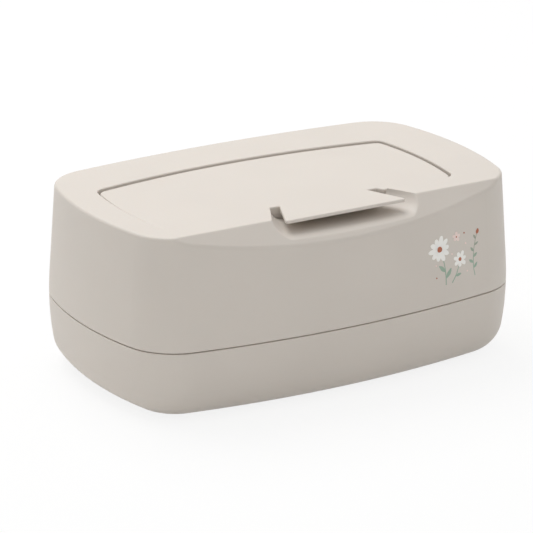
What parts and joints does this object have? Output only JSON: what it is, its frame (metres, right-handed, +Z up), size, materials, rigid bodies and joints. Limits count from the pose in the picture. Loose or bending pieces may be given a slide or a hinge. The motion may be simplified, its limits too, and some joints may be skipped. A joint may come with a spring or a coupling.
{
  "type": "baby wipes box",
  "caption": "Rounded two-part plastic box for baby wipes with a flush flip lid, a finger scoop under the lid's tab, a sealed wipes opening and a weighted plate inside.",
  "frame": {"origin": "centre of the box's footprint on the surface it stands on, at the bottom of its feet", "axes": "+X along the box's length to the user's right, the front with the lid's tab faces -Y, +Z up"},
  "size_m": [0.225, 0.1392, 0.0943],
  "materials": {
    "body_plastic": "satin moulded",
    "lid_plastic": "satin moulded",
    "liner_plastic": "smooth",
    "plate_plastic": "fine texture",
    "seal_silicone": "soft matt",
    "foot_rubber": "soft matt",
    "pin_steel": "drawn",
    "weight_steel": "rolled plate"
  },
  "bodies": {
    "base": {"base_tray": "body_plastic", "foot_front_left": "foot_rubber", "foot_front_right": "foot_rubber", "foot_rear_left": "foot_rubber", "foot_rear_right": "foot_rubber"},
    "housing": {"upper_housing": "body_plastic", "hinge_pin_left": "pin_steel", "hinge_pin_right": "pin_steel"},
    "lid": {"lid_panel": "lid_plastic", "lid_liner": "liner_plastic", "lid_seal": "seal_silicone"},
    "plate": {"pressure_plate": "plate_plastic", "plate_cover": "plate_plastic", "plate_weight_left": "weight_steel", "plate_weight_right": "weight_steel"}
  },
  "joints": [
    {"name": "housing_lift", "type": "slide", "parent": "base", "child": "housing", "axis": [0, 0, 1], "range_m": [0, 0.08]},
    {"name": "lid_hinge", "type": "hinge", "parent": "housing", "child": "lid", "pos_m": [0, 0.02139, 0.0916], "axis": [-1, 0, 0], "range_deg": [0, 105]},
    {"name": "plate_lift", "type": "slide", "parent": "base", "child": "plate", "axis": [0, 0, 1], "range_m": [0, 0.06]}
  ]
}
